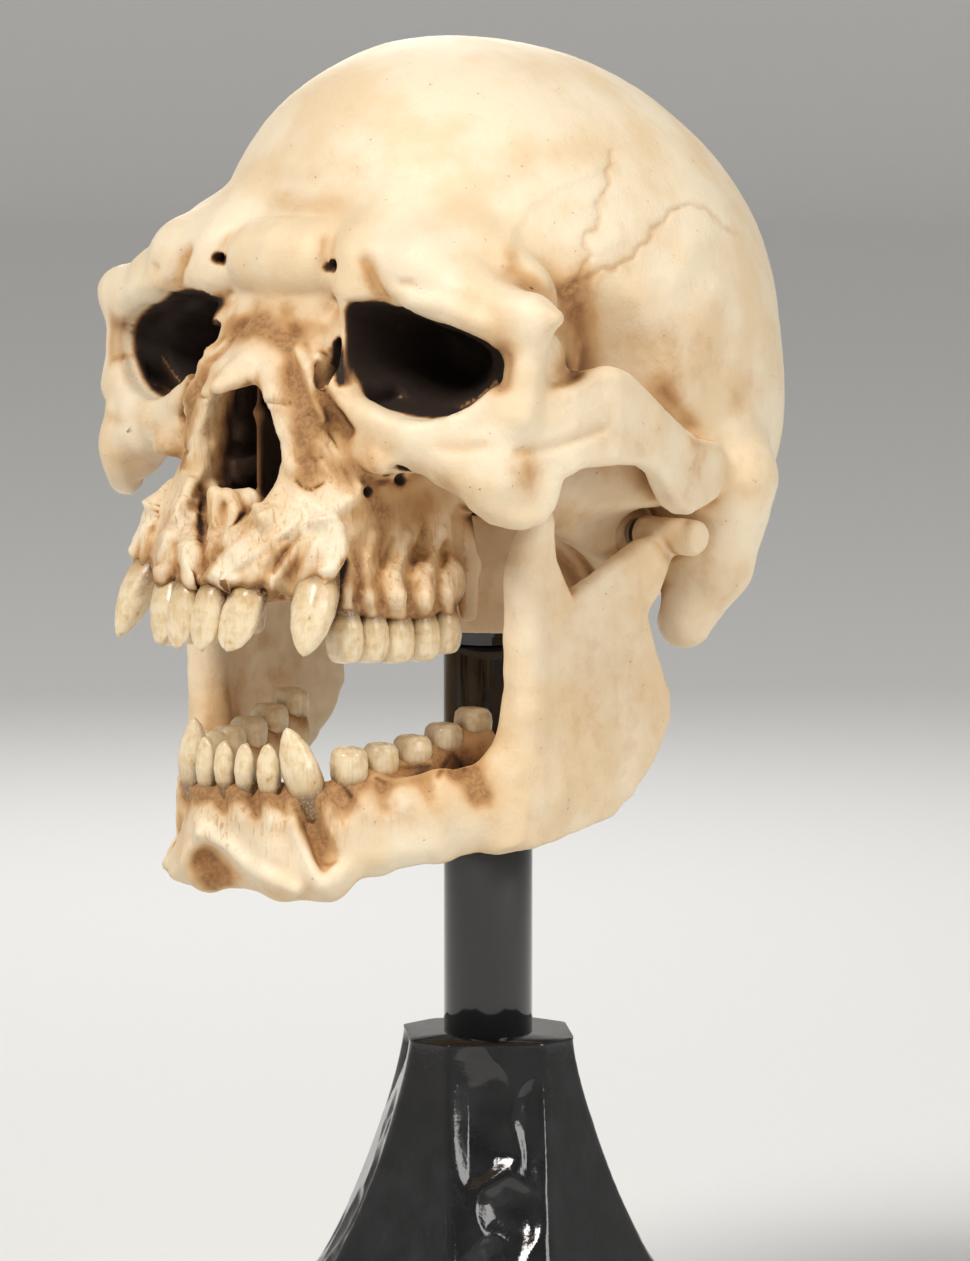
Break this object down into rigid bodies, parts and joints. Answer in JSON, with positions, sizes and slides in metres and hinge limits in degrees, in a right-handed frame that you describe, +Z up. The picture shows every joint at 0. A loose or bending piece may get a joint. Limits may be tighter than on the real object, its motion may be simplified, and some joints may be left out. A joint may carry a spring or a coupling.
{
  "type": "skull statue",
  "caption": "Bone-coloured fantasy skull with fangs and a hinged jaw, dropped over a turning cap on a black post and flared pedestal.",
  "frame": {"origin": "centre of the underside of the felt pad, under the post's axis", "axes": "+Z up along the post, the skull looks along -Y, +X is the skull's own left"},
  "size_m": [0.1773, 0.2289, 0.4137],
  "materials": {
    "bone": "cast resin in an aged ivory bone colour, satin, with brown staining in the hollows",
    "enamel": "cast resin teeth, yellowed ivory with brown necks, semi-gloss",
    "black_stone": "black, polished, with knapped hollows on its faces",
    "black_post": "gloss black enamel",
    "steel": "turned, bare",
    "felt": "black felt"
  },
  "bodies": {
    "stand": {"pedestal": "black_stone", "base_felt": "felt", "post": "black_post", "post_bolt": "steel", "post_washer": "steel"},
    "cap": {"turning_cap": "steel"},
    "skull": {"skull_socket": "black_post", "cranium": "bone", "jaw_pin_left": "steel", "jaw_pin_right": "steel", "jaw_washer_left": "steel", "jaw_washer_right": "steel", "upper_left_incisor_1": "enamel", "upper_left_incisor_2": "enamel", "upper_left_canine": "enamel", "upper_left_premolar_1": "enamel", "upper_left_premolar_2": "enamel", "upper_left_molar_1": "enamel", "upper_left_molar_2": "enamel", "upper_left_molar_3": "enamel", "upper_right_incisor_1": "enamel", "upper_right_incisor_2": "enamel", "upper_right_canine": "enamel", "upper_right_premolar_1": "enamel", "upper_right_premolar_2": "enamel", "upper_right_molar_1": "enamel", "upper_right_molar_2": "enamel", "upper_right_molar_3": "enamel"},
    "jaw": {"mandible": "bone", "lower_left_incisor_1": "enamel", "lower_left_incisor_2": "enamel", "lower_left_canine": "enamel", "lower_left_premolar_1": "enamel", "lower_left_premolar_2": "enamel", "lower_left_molar_1": "enamel", "lower_left_molar_2": "enamel", "lower_left_molar_3": "enamel", "lower_right_incisor_1": "enamel", "lower_right_incisor_2": "enamel", "lower_right_canine": "enamel", "lower_right_premolar_1": "enamel", "lower_right_premolar_2": "enamel", "lower_right_molar_1": "enamel", "lower_right_molar_2": "enamel", "lower_right_molar_3": "enamel"}
  },
  "joints": [
    {"name": "skull_turn", "type": "hinge", "parent": "stand", "child": "cap", "pos_m": [0, 0, 0.2376], "axis": [0, 0, 1], "continuous": true},
    {"name": "skull_lift", "type": "slide", "parent": "cap", "child": "skull", "axis": [0, 0, 1], "range_m": [0, 0.09]},
    {"name": "jaw_hinge", "type": "hinge", "parent": "skull", "child": "jaw", "pos_m": [0, 0.0057, 0.2697], "axis": [1, 0, 0], "range_deg": [-13, 8]}
  ]
}
